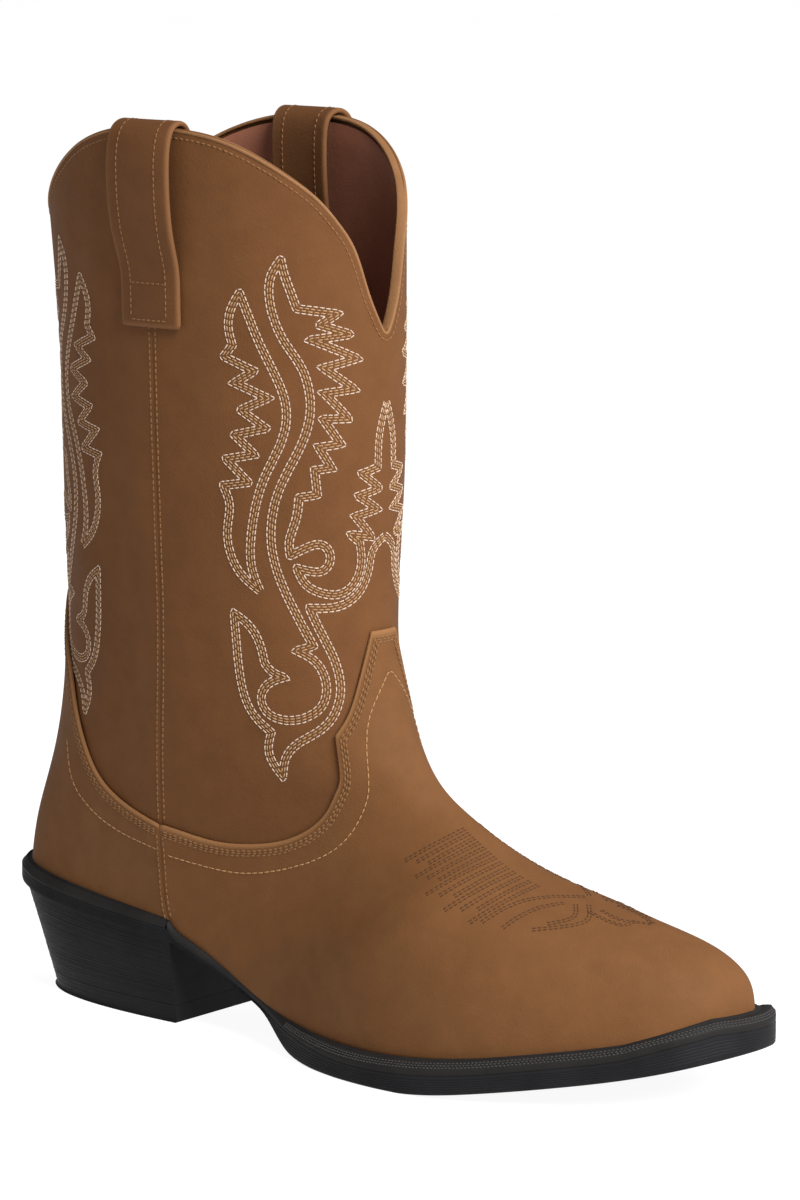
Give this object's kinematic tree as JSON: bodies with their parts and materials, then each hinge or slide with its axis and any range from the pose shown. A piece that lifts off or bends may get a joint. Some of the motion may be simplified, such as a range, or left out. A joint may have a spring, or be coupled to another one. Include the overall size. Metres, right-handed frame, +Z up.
{
  "type": "cowboy boot",
  "caption": "Pull-on western boot for the right foot, with a scalloped shaft, side pull straps, pointed toe, stitched welt and slanted stacked heel.",
  "frame": {"origin": "on the ground, under the middle of the boot's bounding box", "axes": "+X towards the toe, +Y towards the inner (medial) side of a right boot, +Z up"},
  "size_m": [0.3225, 0.1076, 0.3331],
  "materials": {
    "shaft_leather": "matte brushed",
    "vamp_leather": "matte brushed, slightly waxed",
    "trim_leather": "matte",
    "lining": "smooth satin",
    "stiffener": "matte",
    "tape": "woven",
    "sole": "satin",
    "heel": "satin, finely ribbed",
    "filler": "pressed cork",
    "shank": "brushed",
    "insole_board": "fibre board",
    "sock_liner": "soft"
  },
  "bodies": {
    "root": {"shaft_front_panel": "shaft_leather", "shaft_back_panel": "shaft_leather", "vamp": "vamp_leather", "heel_counter": "vamp_leather", "shaft_front_lining": "lining", "shaft_back_lining": "lining", "vamp_lining": "lining", "heel_lining": "lining", "toe_puff": "stiffener", "heel_stiffener": "stiffener", "seam_tape_lateral": "tape", "seam_tape_medial": "tape", "binding_front": "trim_leather", "binding_back": "trim_leather", "pull_strap_lateral": "trim_leather", "pull_strap_medial": "trim_leather", "welt": "sole", "heel_rand": "sole", "outsole": "sole", "heel_block": "heel", "top_lift": "heel", "bottom_filler": "filler", "shank": "shank", "insole_board": "insole_board", "sock_liner": "sock_liner"}
  },
  "joints": []
}
